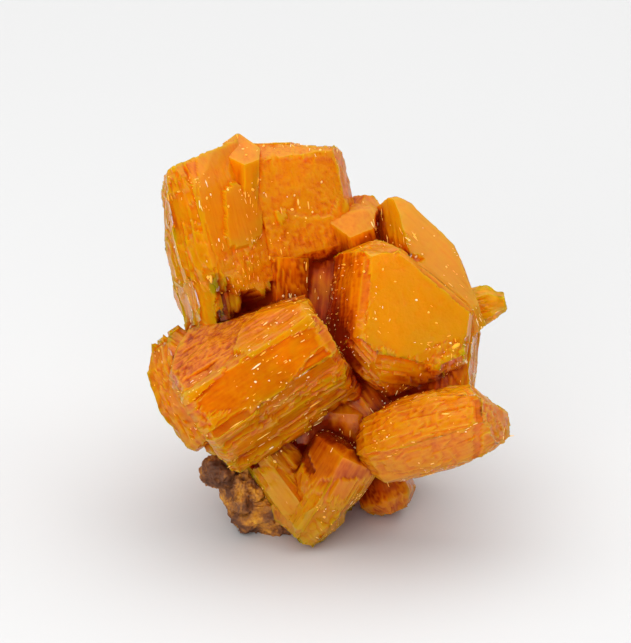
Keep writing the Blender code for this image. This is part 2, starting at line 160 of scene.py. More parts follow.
# Crystals. place is a point on the long axis, axis its direction, and face the way that the first
# side looks. reach has the distances of the sides from the axis, all six, or three or one that
# repeat, and ends the rings along it, each with how far the sides draw in there. cuts are planes,
# a point and a direction each. dice is the size of the surface's triangles, and growth how deep its
# steps and striations are; layered turns them across the length. frayed is how unevenly the lower
# end stops, and tone makes the colour yellower or redder. zones change all this inside an outline,
# given by its places to the right and up, on what faces the camera; a later zone goes over an
# earlier one, and raise and tone add up.
crystals = {
    "upperLeft": {
        "place": (-6.78, 4.65, 0.1), "axis": (-0.25, 0.968, 0.0), "face": (-0.26, 0.0, 0.97),
        "reach": (4.1, 2.85, 3.6, 3.9, 2.96, 2.9),
        "ends": ((-5.6, 0.9), (-4.8, 0.0), (4.2, 0.0), (8.1, 0.7)),
        "cuts": (((-7.5, 10.8, 0.0), (-0.53, 0.85, -0.1)), ((-4.8, 12.3, 0.0), (0.25, 0.97, 0.05)),
                 ((-10.1, 7.0, 0.0), (-0.99, 0.0, 0.1)), ((-4.8, 11.9, 0.5), (0.35, 0.55, 0.75))),
        "dice": 0.14, "growth": 1.0, "frayed": 0.9, "tone": 0.06,
        "zones": (
            {"outline": ((-9.7, 9.6), (-8.2, 9.6), (-7.1, 5.0), (-6.3, 2.6), (-6.6, -1.5), (-9.9, -1.5),
                         (-9.3, 4.0)), "growth": 1.7, "tone": 0.10},
            {"outline": ((-8.1, 8.7), (-7.1, 5.0), (-6.5, 3.1), (-6.3, 2.6), (-2.0, 1.0), (-2.0, 13.0),
                         (-8.4, 13.0)), "raise": 0.10, "growth": 0.22},
            {"outline": ((-7.75, 8.0), (-6.9, 5.0), (-6.3, 3.3), (-6.0, 2.6), (-2.0, 1.0), (-2.0, 13.0),
                         (-8.0, 13.0)), "raise": 0.10},
            {"outline": ((-9.3, 4.4), (-7.4, 4.6), (-6.5, 2.6), (-6.6, -1.5), (-9.8, -1.5)),
             "tone": 0.03, "ragged": 0.5},
            {"outline": ((-6.25, 8.2), (-5.9, 9.0), (-3.9, 9.0), (-3.75, 6.2), (-4.1, 5.5), (-4.5, 4.8),
                         (-5.3, 4.9), (-6.1, 5.3)), "raise": 0.24, "growth": 0.06, "etch": 0.3,
             "tone": -0.05, "ragged": 0.3},
            {"outline": ((-6.2, 5.45), (-3.8, 5.45), (-4.2, 4.7), (-5.4, 4.6), (-6.2, 5.0)), "tone": 0.2,
             "ragged": 0.3},
            {"outline": ((-6.7, 4.6), (-2.6, 5.0), (-2.6, 2.2), (-6.2, 2.2)), "growth": 0.5, "etch": 5.0},
            {"outline": ((-6.6, 2.4), (-5.7, 2.5), (-4.6, 1.7), (-3.6, 1.6), (-2.9, 2.3), (-1.5, 2.3),
                         (-1.5, -3.0), (-6.6, -3.0)), "raise": -0.8, "growth": 1.0, "ragged": 0.9,
             "tone": 0.0},
            # painted shade: the recess under the overhang is also given a redder tone
            {"outline": ((-5.2, 2.2), (-4.5, 1.9), (-3.6, 1.8), (-2.9, 2.6), (-1.5, 2.6), (-1.5, -3.0),
                         (-5.0, -3.0)), "raise": -1.7, "ragged": 0.9, "tone": -0.3},
            {"outline": ((-9.0, 10.8), (-7.9, 10.9), (-7.8, 9.8), (-8.8, 9.5)), "tone": -0.2, "ragged": 0.3},
        ),
    },
    "upperLeftFront": {
        "place": (-4.95, 8.3, 0.45), "axis": (0.0, 1.0, 0.03), "face": (0.5, 0.0, 0.85),
        "reach": (1.5, 1.25, 1.25),
        "ends": ((-3.1, 0.2), (4.2, 0.0)),
        "cuts": (((-4.8, 11.0, 1.3), (0.05, 0.75, 0.66)), ((-4.5, 12.1, 0.0), (0.6, 0.8, 0.0)),
                 ((-5.85, 12.1, 0.0), (-0.6, 0.8, 0.0))),
        "dice": 0.14, "growth": 0.15, "tone": 0.04,
    },
    "upperRight": {
        "place": (-0.92, 7.5, -2.3), "axis": (-0.25, 0.968, 0.05), "face": (0.26, 0.0, 0.97),
        "reach": (2.6, 3.4, 2.47, 2.8, 3.4, 4.2),
        "ends": ((-3.6, 0.8), (-2.8, 0.0), (6.0, 0.0)),
        "cuts": (((0.5, 11.7, 0.0), (0.0, 1.0, 0.0)), ((0.5, 11.3, 0.0), (0.05, 0.78, 0.62)),
                 ((1.4, 11.2, 0.0), (0.72, 0.69, 0.08)), ((2.2, 9.9, 0.0), (0.96, 0.27, 0.05))),
        "dice": 0.14, "growth": 1.0, "frayed": 0.7, "tone": 0.05,
        "zones": (
            {"outline": ((-3.8, 12.0), (2.6, 12.0), (2.6, 4.0), (-3.8, 4.0)), "growth": 0.25, "etch": 5.0},
            {"outline": ((-0.8, 10.9), (1.1, 10.95), (1.4, 10.5), (1.6, 9.6), (1.7, 8.8), (1.0, 7.0),
                         (-3.8, 7.0), (-3.8, 10.8)), "raise": -0.1},
            {"outline": ((-2.7, 7.3), (-1.9, 7.4), (-1.95, 6.9), (-2.35, 6.3)), "raise": 0.22, "tone": 0.3,
             "etch": 0.5},
            {"outline": ((-3.6, 6.4), (2.4, 6.4), (2.4, 3.5), (-3.6, 3.5)), "growth": 0.6, "tone": -0.08},
        ),
    },
    "upperStep": {
        "place": (-2.7, 9.0, -2.3), "axis": (-0.25, 0.968, 0.0), "face": (0.26, 0.0, 0.97),
        "reach": (2.0, 2.2, 2.0, 2.0, 2.0, 2.0),
        "ends": ((-5.0, 0.3), (6.0, 0.0)),
        "cuts": (((-2.5, 11.9, 0.0), (-0.07, 0.99, 0.0)),),
        "dice": 0.22, "growth": 0.8,
    },
    "between": {
        "place": (2.9, 5.1, -1.3), "axis": (-0.15, 0.90, 0.42), "face": (0.3, -0.3, 0.95),
        "reach": (1.5, 1.4, 1.5),
        "ends": ((-5.0, 0.0), (2.2, 0.0), (2.4, 0.25)),
        "cuts": (((2.5, 7.1, -0.3), (-0.1, 0.6, 0.8)),),
        "dice": 0.15, "growth": 0.35,
    },
    "betweenBack": {
        "place": (3.2, 5.2, -2.4), "axis": (0.05, 0.98, -0.2), "face": (0.3, 0.1, 0.95),
        "reach": (1.7, 1.6, 1.6),
        "ends": ((-4.0, 0.0), (2.3, 0.0), (3.2, 0.8)),
        "dice": 0.2, "growth": 0.7,
    },
    "rightBehind": {
        "place": (6.93, 2.35, -0.5), "axis": (0.72, -0.69, 0.0), "face": (0.49, 0.51, 0.71),
        "reach": (3.2,),
        "ends": ((-6.0, 1.3), (-5.2, 0.3), (-4.2, 0.0), (3.6, 0.0), (4.9, 0.7)),
        "cuts": (((4.8, 6.6, 0.0), (-0.90, 0.05, 0.43)), ((9.9, 3.4, 0.0), (0.93, 0.36, 0.0))),
        "dice": 0.18, "growth": 0.35, "frayed": 0.4, "tone": 0.26,
        "zones": (
            {"outline": ((4.6, 6.2), (5.4, 6.1), (6.8, 5.0), (6.2, 4.5), (5.0, 4.9)), "tone": 0.22,
             "ragged": 0.3, "growth": 0.8},
            # painted shade in a groove: sunk and given a redder tone
            {"outline": ((5.7, 4.6), (7.1, 4.3), (7.1, 3.95), (5.8, 4.2)), "raise": -0.25, "tone": -0.2},
        ),
    },
    "rightFront": {
        "place": (6.6, 0.8, 5.3), "axis": (0.30, 0.08, 0.95), "face": (0.62, 0.784, 0.0),
        "reach": (2.9, 5.0, 4.1, 4.8, 4.8, 4.4),
        "ends": ((-7.5, 1.0), (-6.5, 0.0), (-1.5, 0.0), (-0.5, 0.25), (0.0, 0.7)),
        "cuts": (((6.6, -2.9, 5.3), (0.05, -0.80, 0.60)), ((3.4, -2.0, 6.0), (-0.60, -0.66, 0.45)),
                 ((11.0, -1.0, 4.0), (0.82, -0.40, 0.40)), ((4.5, 4.85, 4.5), (-0.05, 0.95, 0.30))),
        "dice": 0.14, "growth": 0.8,
        "layered": True,
        "zones": (
            {"outline": ((3.4, 4.6), (5.6, 4.4), (11.2, -0.2), (9.8, -1.2), (8.2, -1.3), (6.0, -2.6),
                         (3.2, -1.4), (3.6, 1.2)), "growth": 0.12, "etch": 1.4, "tone": 0.32},
            {"outline": ((0.6, 4.4), (3.3, 4.6), (3.5, 2.0), (2.8, 0.2), (2.6, -1.4), (0.5, -1.4)),
             "growth": 0.5, "tone": -0.18, "ragged": 0.5},
            {"outline": ((2.2, -1.2), (5.4, -2.2), (6.8, -2.7), (9.8, -1.6), (10.8, -1.0), (10.8, -4.5),
                         (2.0, -4.5)), "growth": 1.6, "tone": 0.10, "ragged": 0.4},
        ),
    },
    "farRight": {
        "place": (9.6, 0.7, -1.9), "axis": (0.97, 0.22, 0.1), "face": (0.0, 0.1, 1.0),
        "reach": (1.3, 1.5, 1.5, 1.3, 1.2, 1.1),
        "ends": ((-3.0, 0.3), (2.2, 0.0), (3.1, 0.5)),
        "cuts": (((11.8, 0.1, 0.0), (0.50, -0.87, 0.0)), ((12.5, 1.2, 0.0), (0.93, 0.3, 0.2))),
        "dice": 0.15, "growth": 1.2, "tone": 0.6, "frayed": 0.4,
    },
    "farRightLow": {
        "place": (8.5, -2.2, 0.6), "axis": (-0.12, -0.97, 0.1), "face": (0.3, 0.0, 0.95),
        "reach": (2.5, 2.3, 2.3),
        "ends": ((-3.0, 0.3), (2.6, 0.1), (3.0, 0.4)),
        "dice": 0.18, "growth": 1.0, "frayed": 0.5,
    },
    "frontLeft": {
        "place": (-3.74, -3.22, 4.0), "axis": (0.84, 0.54, 0.0), "face": (0.03, -0.05, 1.0),
        "reach": (4.5, 3.66, 5.13, 3.4, 5.08, 3.4),
        "ends": ((-5.15, 0.45), (-4.7, 0.0), (4.6, 0.0), (5.15, 0.5)),
        "cuts": (((-8.6, -1.2, 0.0), (-0.92, 0.38, 0.0)), ((-3.9, 0.4, 5.5), (-0.26, 0.95, 0.12))),
        "dice": 0.142, "growth": 1.0, "tone": -0.12,
        "zones": (
            {"outline": ((-9.6, -2.2), (-8.4, -0.6), (-2.0, 1.6), (-0.2, 0.6), (-3.0, -0.6), (-5.4, -1.8),
                         (-6.4, -3.0), (-9.2, -4.8)), "growth": 0.5, "etch": 4.5, "tone": -0.14,
             "ragged": 0.3},
            {"outline": ((-5.3, -1.85), (-4.1, -2.4), (-2.0, -1.1), (0.0, -0.3), (-0.4, 1.2), (-3.0, 1.2),
                         (-4.6, -0.2)), "raise": 0.16, "growth": 0.3, "etch": 1.5, "tone": 0.06,
             "ragged": 0.15},
            {"outline": ((-4.1, -2.4), (-2.0, -1.1), (0.0, -0.3), (0.2, -1.2), (-0.8, -3.0), (-2.0, -4.4),
                         (-4.0, -5.6), (-6.5, -5.9), (-7.4, -5.2), (-6.8, -3.9), (-5.8, -2.6)),
             "growth": 0.18, "etch": 0.8, "ragged": 0.3},
            {"outline": ((-9.1, -5.3), (-6.5, -3.3), (-5.7, -2.9), (-6.1, -3.5), (-8.2, -5.4)),
             "raise": 0.22, "growth": 0.1, "etch": 0.4},
            {"outline": ((-8.7, -6.0), (-6.6, -6.1), (-4.0, -5.7), (-2.0, -4.5), (-0.8, -3.1), (0.2, -1.5),
                         (1.6, -2.4), (4.2, -4.8), (-0.9, -8.6), (-5.3, -11.0), (-8.2, -7.4)),
             "growth": 2.4, "etch": 1.0, "tone": 0.03},
            # painted shade in a shallow pocket: sunk and given a redder tone
            {"outline": ((-7.7, -5.6), (-7.2, -5.5), (-6.7, -6.7), (-7.3, -6.9)), "raise": -0.12,
             "tone": -0.2},
        ),
    },
    "leftBehind": {
        "place": (-7.7, -4.5, 1.4), "axis": (0.52, -0.85, 0.1), "face": (-0.5, -0.2, 0.85),
        "reach": (2.8, 2.7, 2.6, 2.8, 2.7, 2.7),
        "ends": ((-4.3, 1.8), (-2.6, 0.5), (0.0, 0.0), (2.9, 0.0), (3.4, 0.4)),
        "cuts": (((-10.0, -1.35, 0.0), (-0.54, 0.84, 0.0)),),
        "dice": 0.16, "growth": 1.0, "frayed": 0.8, "tone": -0.06,
    },
    "lowerRight": {
        "place": (7.3, -7.4, 4.6), "axis": (0.85, 0.25, 0.45), "face": (-0.4, 0.3, 0.87),
        "reach": (2.6, 2.5, 2.6),
        "ends": ((-4.6, 1.2), (-3.4, 0.35), (-1.2, 0.0), (2.2, 0.0), (4.2, 0.4), (5.2, 0.8)),
        "cuts": (((11.4, -5.0, 5.0), (0.60, 0.80, 0.10)), ((9.5, -9.4, 5.0), (0.22, -0.97, 0.10))),
        "dice": 0.14, "growth": 1.0,
        "zones": (
            {"outline": ((2.5, -4.0), (10.2, -4.0), (10.4, -10.4), (2.5, -10.4)), "growth": 1.0, "etch": 3.5,
             "tone": -0.02},
            {"outline": ((10.3, -5.0), (10.9, -4.8), (10.7, -9.4), (10.2, -9.3)), "raise": -0.18,
             "growth": 0.5, "tone": -0.12},
        ),
    },
    "bottomCentre": {
        "place": (1.0, -10.4, 1.0), "axis": (-0.5, -0.83, -0.22), "face": (-0.5, 0.2, 0.8),
        "reach": (2.5, 2.3, 2.6),
        "ends": ((-2.9, 0.6), (-2.4, 0.0), (3.4, 0.0), (4.2, 0.6)),
        "cuts": (((1.6, -13.2, 0.0), (0.75, -0.66, 0.1)),),
        "dice": 0.14, "growth": 0.8, "frayed": 0.8, "tone": -0.08,
        "zones": (
            {"outline": ((-1.4, -7.6), (2.2, -6.6), (4.4, -8.6), (3.8, -10.3), (-0.4, -10.4)), "growth": 0.2,
             "etch": 0.6, "tone": -0.22},
            {"outline": ((-1.2, -8.0), (-0.7, -8.1), (0.0, -10.0), (-0.5, -10.2)), "raise": -0.12,
             "tone": -0.15},
            {"outline": ((-2.0, -11.6), (4.4, -11.0), (2.0, -15.2), (-2.4, -15.2)), "growth": 1.5,
             "tone": 0.22, "ragged": 0.6},
        ),
    },
    "bottomLeftFlank": {
        "place": (-1.6, -10.9, 0.4), "axis": (0.60, -0.80, -0.05), "face": (-0.3, -0.2, 0.93),
        "reach": (2.3, 1.8, 1.9, 2.1, 1.9, 2.0),
        "ends": ((-2.6, 0.3), (3.4, 0.1), (3.9, 0.6)),
        "dice": 0.14, "growth": 1.4, "tone": 0.12, "frayed": 0.9,
    },
    "bottomRight": {
        "place": (4.4, -10.5, -2.9), "axis": (0.35, -0.92, -0.1), "face": (0.3, 0.0, 0.95),
        "reach": (1.8, 1.7, 1.7),
        "ends": ((-3.2, 0.4), (1.4, 0.0), (2.2, 0.5)),
        "cuts": (((5.6, -12.4, 0.0), (0.6, -0.8, 0.1)),),
        "dice": 0.16, "growth": 0.8, "tone": -0.26,
    },
    "recessLeft": {
        "place": (-2.4, 1.4, -1.2), "axis": (0.02, 1.0, 0.02), "face": (-0.5, 0.0, 0.86),
        "reach": (1.9,),
        "ends": ((-4.0, 0.0), (2.9, 0.0)),
        "dice": 0.18, "growth": 0.8, "tone": -0.16,
    },
    "recessRight": {
        "place": (3.6, -5.4, 0.2), "axis": (0.55, -0.8, 0.1), "face": (0.2, 0.2, 0.95),
        "reach": (2.3, 2.2, 2.3, 2.3, 3.2, 3.2),
        "ends": ((-4.0, 0.2), (3.4, 0.1), (3.9, 0.4)),
        "dice": 0.24, "growth": 0.7, "tone": -0.1,
    },
    "behindRecess": {
        "place": (-2.8, 2.8, -3.6), "axis": (-0.05, 1.0, 0.1), "face": (-0.5, 0.0, 0.86),
        "reach": (2.4,),
        "ends": ((-4.0, 0.0), (4.0, 0.0)),
        "dice": 0.4, "growth": 0.6,
    },
    "heart": {
        "place": (1.6, -1.5, -3.4), "axis": (0.1, 0.95, -0.3), "face": (0.0, 0.3, 1.0),
        "reach": (3.9, 4.4, 4.4),
        "ends": ((-8.0, 1.5), (-6.0, 0.0), (6.0, 0.0), (7.5, 1.0)),
        "dice": 0.36, "growth": 0.8,
    },
    "backLeft": {
        "place": (-5.6, 1.6, -5.0), "axis": (-0.45, 0.20, -0.87), "face": (0.0, 1.0, 0.0),
        "reach": (3.0, 2.8, 2.9),
        "ends": ((-4.0, 0.0), (2.6, 0.0), (3.3, 0.6)),
        "dice": 0.24, "growth": 0.9,
    },
    "backRight": {
        "place": (5.2, 1.2, -5.0), "axis": (0.52, 0.12, -0.85), "face": (0.0, 1.0, 0.1),
        "reach": (2.9, 2.7, 2.8),
        "ends": ((-4.0, 0.0), (3.0, 0.0), (3.8, 0.7)),
        "dice": 0.24, "growth": 0.9,
    },
    "backTop": {
        "place": (0.2, 5.0, -4.9), "axis": (0.10, 0.55, -0.83), "face": (1.0, 0.1, 0.0),
        "reach": (2.9, 3.0, 2.8),
        "ends": ((-2.4, 0.0), (3.0, 0.0), (3.8, 0.8)),
        "dice": 0.24, "growth": 0.9,
    },
    "backMiddle": {
        "place": (-0.6, -1.6, -7.6), "axis": (-0.10, -0.25, -0.96), "face": (0.4, 0.9, 0.0),
        "reach": (3.3, 3.1, 3.2),
        "ends": ((-4.0, 0.0), (2.0, 0.0), (2.8, 0.7)),
        "dice": 0.24, "growth": 0.9,
    },
    "footBack": {
        "place": (0.4, -6.6, -7.4), "axis": (0.10, -0.80, -0.60), "face": (0.6, 0.5, -0.7),
        "reach": (3.5, 3.3, 3.2),
        "ends": ((-5.0, 0.3), (7.0, 0.0)),
        "dice": 0.28, "growth": 0.9,
    },
    "footLeft": {
        "place": (-3.2, -6.6, -4.4), "axis": (-0.30, -0.90, -0.32), "face": (0.1, 0.5, -0.8),
        "reach": (2.7, 2.5, 2.6),
        "ends": ((-5.0, 0.3), (2.8, 0.0), (4.0, 0.5)),
        "dice": 0.28, "growth": 0.9,
    },
    "footRight": {
        "place": (4.2, -6.0, -5.6), "axis": (0.38, -0.80, -0.46), "face": (0.8, 0.3, 0.3),
        "reach": (2.4, 2.3, 2.3),
        "ends": ((-5.0, 0.3), (3.2, 0.0), (3.9, 0.5)),
        "dice": 0.28, "growth": 0.9,
    },
    "footMiddle": {
        "place": (0.6, -8.2, -4.2), "axis": (-0.04, -0.93, -0.37), "face": (0.3, 0.1, 0.9),
        "reach": (2.6, 2.4, 2.5),
        "ends": ((-4.0, 0.0), (5.0, 0.0)),
        "dice": 0.28, "growth": 0.9,
    },
}


# Rows of thin blades that stand out where a crystal stops: the row's two ends, how many, the way
# they run, their shortest and longest length, their widths, and their tone.
fringes = (
    {"from": (-8.0, 1.0, 2.6), "to": (-7.5, 1.0, 2.9), "count": 2, "way": (0.12, -0.98, 0.0),
     "long": (1.0, 1.6), "wide": (0.30, 0.40), "tone": 0.12},
    {"from": (-7.0, 1.7, 3.1), "to": (-5.2, 1.6, 2.3), "count": 5, "way": (0.2, -0.97, 0.05),
     "long": (1.0, 1.7), "wide": (0.28, 0.42), "tone": 0.05},
    {"from": (-3.3, -10.4, 1.6), "to": (-0.6, -12.9, 2.2), "count": 9, "way": (0.60, -0.80, 0.1),
     "long": (0.5, 1.5), "wide": (0.18, 0.32), "tone": 0.05},
    {"from": (-0.9, -12.6, 1.9), "to": (1.6, -12.9, 1.5), "count": 6, "way": (-0.35, -0.92, 0.0),
     "long": (0.6, 1.3), "wide": (0.22, 0.36), "tone": 0.05},
    {"from": (4.2, -2.6, 4.6), "to": (8.6, -3.0, 4.0), "count": 9, "way": (0.1, -0.93, -0.35),
     "long": (0.4, 1.2), "wide": (0.22, 0.40), "tone": -0.04},
    {"from": (-8.4, -5.6, 3.2), "to": (-6.9, -7.4, 3.6), "count": 5, "way": (-0.84, -0.54, 0.05),
     "long": (0.2, 0.6), "wide": (0.22, 0.36), "tone": 0.0},
    {"from": (11.4, 1.0, -1.5), "to": (11.6, 1.8, -1.9), "count": 3, "way": (0.97, 0.1, 0.1),
     "long": (0.4, 0.8), "wide": (0.26, 0.4), "tone": 0.2},
    {"from": (-8.9, -7.0, 1.5), "to": (-6.6, -8.3, 1.7), "count": 6, "way": (0.35, -0.93, 0.1),
     "long": (0.3, 0.9), "wide": (0.3, 0.5), "tone": 0.0},
)


bladeLook = {
    "astray": 0.06, "stagger": 0.25, "slant": 0.7,
    "sides": (0.8, 1.25),       # how much narrower or wider than the blade a side may be
    "root": 1.6,                # how far it reaches into the crystal
}


def fringeCrystals():
    chance = random.Random(8)
    look = bladeLook
    blades = {}
    for row, fringe in enumerate(fringes):
        start, end = np.array(fringe["from"]), np.array(fringe["to"])
        for number in range(fringe["count"]):
            share = (number + chance.uniform(0.2, 0.8)) / fringe["count"]
            long, wide = chance.uniform(*fringe["long"]), chance.uniform(*fringe["wide"])
            way = unit(fringe["way"]) + look["astray"] * np.array([chance.gauss(0, 1) for axis in range(3)])
            place = start + (end - start) * share + (0, 0, chance.uniform(-look["stagger"], look["stagger"]))
            side = unit(np.cross(way, (0, 0, 1)))
            slant = unit(unit(way) * 0.8 + side * chance.uniform(-look["slant"], look["slant"]))
            blades[f"blade{row}-{number}"] = {
                "place": tuple(place), "axis": tuple(way), "face": (0.2, 0.0, 1.0),
                "reach": [wide * chance.uniform(*look["sides"]) for side in range(6)],
                "ends": ((-look["root"], 0.0), (long * 0.6, 0.0), (long, 0.45 * wide)),
                "cuts": ((tuple(place + unit(way) * long * 0.85), tuple(slant)),),
                "dice": 0.15, "growth": 0.8, "tone": fringe["tone"] + chance.uniform(-0.06, 0.06),
            }
    return blades


# Noise that works on arrays
def lattice(cells, seed):
    # one fixed random number, 0 to 1, for each whole-numbered point
    mixed = (cells[..., 0].astype(np.int64) * 73856093 ^ cells[..., 1].astype(np.int64) * 19349663
             ^ cells[..., 2].astype(np.int64) * 83492791 ^ np.int64(seed * 2654435761 % 4294967296))
    mixed &= 0xFFFFFFFF
    mixed = (mixed ^ (mixed >> 16)) * 0x45D9F3B & 0xFFFFFFFF
    mixed = (mixed ^ (mixed >> 16)) * 0x45D9F3B & 0xFFFFFFFF
    return (mixed ^ (mixed >> 16)) / 4294967296.0


def noise(points, seed=0):
    # smooth noise, -1 to 1
    points = np.asarray(points, float)
    if points.shape[-1] == 2:
        points = np.concatenate((points, np.zeros(points.shape[:-1] + (1,))), axis=-1)
    low = np.floor(points)
    part = points - low
    part = part * part * (3 - 2 * part)
    total = 0
    for corner in range(8):
        step = np.array((corner & 1, corner >> 1 & 1, corner >> 2 & 1))
        weight = np.prod(np.where(step, part, 1 - part), axis=-1)
        total = total + weight * lattice(low + step, seed)
    return total * 2 - 1


def flatNoise(first, second, seed):
    return noise(np.stack((first, second), -1), seed)


def cellValue(cell, seed):
    return lattice(np.stack((cell, cell * 0, cell * 0), -1), seed)


def columnsOf(across, width, seed):
    # the number of the column that each place lies in; the columns' widths vary
    return np.floor(across / width + 0.8 * flatNoise(across / width * 0.6, across * 0, seed))


growthLook = {
    "wideWidth": 1.1, "wideLength": 2.6, "wideDepth": 0.13, "wideSteps": 1.8,
    "fineWidth": 0.26, "fineLength": 1.7, "fineDepth": 0.065, "fineSteps": 2.5,
    "layerDepth": 0.10, "layerLength": 3.2, "layerWidth": 1.7, "layerSteps": 3,
    "raggedBy": 0.5, "raggedWidth": 0.4, "raggedLength": 0.5,
    "terraceDepth": 0.10, "terraceSize": 2.2, "terraceSteps": 2.5,      # on the end faces
    "stubs": (0.5, 0.7),        # how wide the blades' uneven stops are, each way
    "etch": 0.012, "etchSize": 0.26, "dimpleSize": 0.7, "dimples": 1.2,
    "pitSize": 0.34, "pits": 2.2, "pitLevel": 0.25,
    "waves": 0.06, "waveSize": 1.9,
    "deepest": 0.32,
    "finer": 0.72,              # how much narrower the triangles are across than along
}


def relief(along, across, seed):
    # heights of stepped growth on a side face: bundles of blades that end at different places
    look = growthLook
    fine = columnsOf(across, look["fineWidth"], seed)
    wide = columnsOf(across, look["wideWidth"], seed + 1)
    ragged = look["raggedBy"] * (cellValue(fine, seed + 2) - 0.5)
    ragged = ragged + 0.5 * look["raggedBy"] * flatNoise(
        across / look["raggedWidth"], along / look["raggedLength"], seed + 3)
    shifted = along + ragged
    wideHeight = flatNoise(wide * 5.3, shifted / look["wideLength"], seed + 4)
    fineHeight = flatNoise(fine * 7.7, along / look["fineLength"], seed + 5)
    layer = flatNoise(across / look["layerWidth"], shifted / look["layerLength"], seed + 6)
    height = look["wideDepth"] * np.round(wideHeight * look["wideSteps"]) / look["wideSteps"]
    height = height + look["fineDepth"] * np.round(fineHeight * look["fineSteps"]) / look["fineSteps"]
    return height + look["layerDepth"] * np.round(layer * look["layerSteps"])


def endRelief(first, second, seed, frayed):
    # heights on an end face: low terraces, and the uneven stops of blades
    look = growthLook
    ragged = 0.25 * flatNoise(first / 0.35, second / 0.35, seed + 3)
    size = look["terraceSize"]
    layer = flatNoise(first / size + ragged, second / size + ragged, seed + 6)
    cells = np.stack((columnsOf(first, look["stubs"][0], seed),
                      columnsOf(second, look["stubs"][1], seed + 8), first * 0), -1)
    terraces = look["terraceDepth"] * np.round(layer * look["terraceSteps"])
    return terraces + frayed * (lattice(cells, seed + 9) - 0.6)


def within(outline, spots):
    # true for each spot that lies inside the outline
    inside = np.zeros(len(spots), bool)
    for (startX, startY), (endX, endY) in zip(outline, outline[1:] + outline[:1]):
        crosses = (startY > spots[:, 1]) != (endY > spots[:, 1])
        with np.errstate(divide="ignore", invalid="ignore"):
            meets = (endX - startX) * (spots[:, 1] - startY) / (endY - startY) + startX
        inside ^= crosses & (spots[:, 0] < meets)
    return inside


zoneEdge = {"facing": 0.12, "ragged": 0.06, "bladeWidth": 0.35, "wobbleSize": 0.45}


def zoned(crystal, points, normal, axis, seed):
    # how deep growth and etching are at each point, how far it is raised, and its tone
    growth = np.full(len(points), crystal["growth"])
    etch, raised = np.ones(len(points)), np.zeros(len(points))
    tone = np.full(len(points), crystal.get("tone", 0.0))
    if normal[2] > zoneEdge["facing"]:
        along = unit(axis[:2]) if np.linalg.norm(axis[:2]) > 0.5 else np.array((0.0, 1.0))
        across = points[:, :2] @ np.array((along[1], -along[0]))
        blade = cellValue(columnsOf(across, zoneEdge["bladeWidth"], seed + 20), seed + 21) - 0.5
        for zone in crystal.get("zones", ()):
            ragged = zone.get("ragged", zoneEdge["ragged"])
            shift = ragged * (blade + noise(points / zoneEdge["wobbleSize"], seed + 22))
            inside = within(zone["outline"], points[:, :2] + shift[:, None] * along)
            growth = np.where(inside, zone.get("growth", growth), growth)
            etch = np.where(inside, zone.get("etch", etch), etch)
            raised += np.where(inside, zone.get("raise", 0.0), 0.0)
            tone += np.where(inside, zone.get("tone", 0.0), 0.0)
    return growth, etch, raised, tone


def polytope(crystal):
    # the plain shape, as a list of faces: corner points and the way each one looks
    axis = Vector(crystal["axis"]).normalized()
    first = Vector(crystal["face"])
    first = (first - axis * first.dot(axis)).normalized()
    second = axis.cross(first)
    centre = Vector(crystal["place"])
    sixth = math.radians(60)
    bm = bmesh.new()
    rings = []
    for along, inset in crystal["ends"]:
        reach = [distance - inset for distance in crystal["reach"] * (6 // len(crystal["reach"]))]
        ring = []
        for side in range(6):
            normal = first * math.cos(sixth * side) + second * math.sin(sixth * side)
            after = reach[(side + 1) % 6]
            sideways = (after - reach[side] * math.cos(sixth)) / math.sin(sixth)
            corner = normal * reach[side] + axis.cross(normal) * sideways + axis * along
            ring.append(bm.verts.new(centre + corner))
        rings.append(ring)
    bm.faces.new(rings[0])
    bm.faces.new(rings[-1])
    for low, high in zip(rings, rings[1:]):
        for side in range(6):
            after = (side + 1) % 6
            bm.faces.new((low[side], low[after], high[after], high[side]))
    for point, facing in crystal.get("cuts", ()):
        cut = bmesh.ops.bisect_plane(
            bm, geom=bm.verts[:] + bm.edges[:] + bm.faces[:], dist=1e-5,
            plane_co=Vector(point), plane_no=Vector(facing).normalized(), clear_outer=True)
        edges = [item for item in cut["geom_cut"] if isinstance(item, bmesh.types.BMEdge)]
        if edges:
            bmesh.ops.contextual_create(bm, geom=edges)
    bmesh.ops.recalc_face_normals(bm, faces=bm.faces)
    faces = [(np.array([vert.co for vert in face.verts]), np.array(face.normal)) for face in bm.faces]
    bm.free()
    return faces, np.array((first, second, axis))


